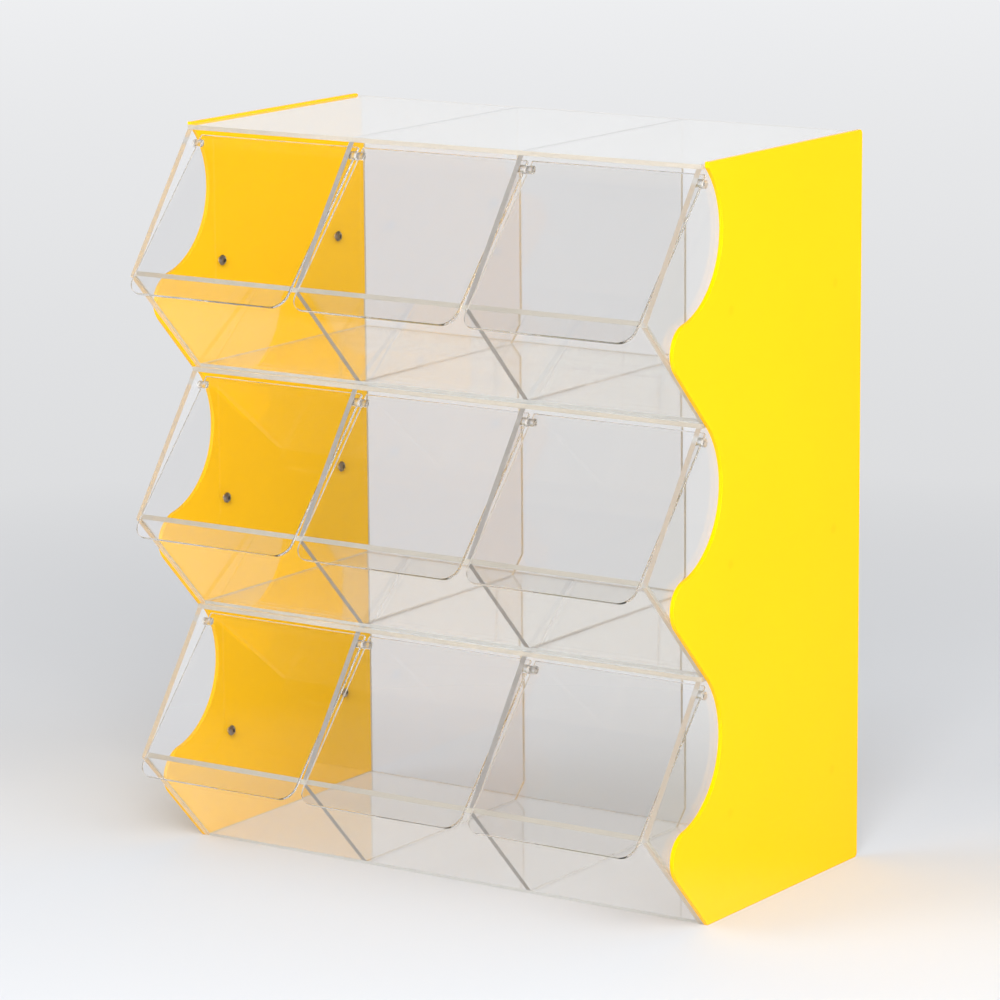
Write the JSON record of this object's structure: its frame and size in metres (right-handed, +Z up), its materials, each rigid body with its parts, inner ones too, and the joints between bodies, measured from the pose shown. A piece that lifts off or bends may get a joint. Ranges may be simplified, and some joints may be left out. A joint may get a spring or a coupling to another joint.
{
  "type": "bulk food bin display",
  "caption": "Tiered clear bin display for loose food: lidded scoop bins with sloping chutes between two coloured side panels with scalloped fronts.",
  "frame": {"origin": "on the base plane, under the middle of the part's box with the lids closed", "axes": "+Z up; +Y to the back, so the lids face -Y; +X to the right seen from the front"},
  "size_m": [0.538, 0.3592, 0.65],
  "materials": {
    "coloured_acrylic": "opaque yellow acrylic sheet, satin gloss, polished edges",
    "clear_acrylic": "clear cast acrylic sheet, gloss, faintly tan edges",
    "clear_lid": "clear acrylic sheet, gloss, polished edges",
    "clear_rod": "clear acrylic rod, turned",
    "screw_steel": "stainless button head screw"
  },
  "bodies": {
    "root": {"side_panel_left": "coloured_acrylic", "panel_screws_left": "screw_steel", "side_panel_right": "coloured_acrylic", "panel_screws_right": "screw_steel", "top_sheet_lower": "clear_acrylic", "floor_sheet_lower": "clear_acrylic", "chute_lower": "clear_acrylic", "back_sheet_lower": "clear_acrylic", "end_panel_lower_left": "clear_acrylic", "divider_lower_left": "clear_acrylic", "end_panel_lower_right": "clear_acrylic", "divider_lower_right": "clear_acrylic", "top_sheet_middle": "clear_acrylic", "floor_sheet_middle": "clear_acrylic", "chute_middle": "clear_acrylic", "back_sheet_middle": "clear_acrylic", "end_panel_middle_left": "clear_acrylic", "divider_middle_left": "clear_acrylic", "end_panel_middle_right": "clear_acrylic", "divider_middle_right": "clear_acrylic", "top_sheet_upper": "clear_acrylic", "floor_sheet_upper": "clear_acrylic", "chute_upper": "clear_acrylic", "back_sheet_upper": "clear_acrylic", "end_panel_upper_left": "clear_acrylic", "divider_upper_left": "clear_acrylic", "end_panel_upper_right": "clear_acrylic", "divider_upper_right": "clear_acrylic"},
    "lid_lower_left": {"lid_lower_left": "clear_lid", "lid_pins_lower_left": "clear_rod"},
    "lid_lower_centre": {"lid_lower_centre": "clear_lid", "lid_pins_lower_centre": "clear_rod"},
    "lid_lower_right": {"lid_lower_right": "clear_lid", "lid_pins_lower_right": "clear_rod"},
    "lid_middle_left": {"lid_middle_left": "clear_lid", "lid_pins_middle_left": "clear_rod"},
    "lid_middle_centre": {"lid_middle_centre": "clear_lid", "lid_pins_middle_centre": "clear_rod"},
    "lid_middle_right": {"lid_middle_right": "clear_lid", "lid_pins_middle_right": "clear_rod"},
    "lid_upper_left": {"lid_upper_left": "clear_lid", "lid_pins_upper_left": "clear_rod"},
    "lid_upper_centre": {"lid_upper_centre": "clear_lid", "lid_pins_upper_centre": "clear_rod"},
    "lid_upper_right": {"lid_upper_right": "clear_lid", "lid_pins_upper_right": "clear_rod"}
  },
  "joints": [
    {"name": "lid_lower_left_hinge", "type": "hinge", "parent": "root", "child": "lid_lower_left", "pos_m": [-0.175, -0.07289, 0.199], "axis": [-1, 0, 0], "range_deg": [0, 88]},
    {"name": "lid_lower_centre_hinge", "type": "hinge", "parent": "root", "child": "lid_lower_centre", "pos_m": [0, -0.07289, 0.199], "axis": [-1, 0, 0], "range_deg": [0, 88]},
    {"name": "lid_lower_right_hinge", "type": "hinge", "parent": "root", "child": "lid_lower_right", "pos_m": [0.175, -0.07289, 0.199], "axis": [-1, 0, 0], "range_deg": [0, 88]},
    {"name": "lid_middle_left_hinge", "type": "hinge", "parent": "root", "child": "lid_middle_left", "pos_m": [-0.175, -0.07289, 0.415], "axis": [-1, 0, 0], "range_deg": [0, 88]},
    {"name": "lid_middle_centre_hinge", "type": "hinge", "parent": "root", "child": "lid_middle_centre", "pos_m": [0, -0.07289, 0.415], "axis": [-1, 0, 0], "range_deg": [0, 88]},
    {"name": "lid_middle_right_hinge", "type": "hinge", "parent": "root", "child": "lid_middle_right", "pos_m": [0.175, -0.07289, 0.415], "axis": [-1, 0, 0], "range_deg": [0, 88]},
    {"name": "lid_upper_left_hinge", "type": "hinge", "parent": "root", "child": "lid_upper_left", "pos_m": [-0.175, -0.07289, 0.631], "axis": [-1, 0, 0], "range_deg": [0, 100]},
    {"name": "lid_upper_centre_hinge", "type": "hinge", "parent": "root", "child": "lid_upper_centre", "pos_m": [0, -0.07289, 0.631], "axis": [-1, 0, 0], "range_deg": [0, 100]},
    {"name": "lid_upper_right_hinge", "type": "hinge", "parent": "root", "child": "lid_upper_right", "pos_m": [0.175, -0.07289, 0.631], "axis": [-1, 0, 0], "range_deg": [0, 100]}
  ]
}
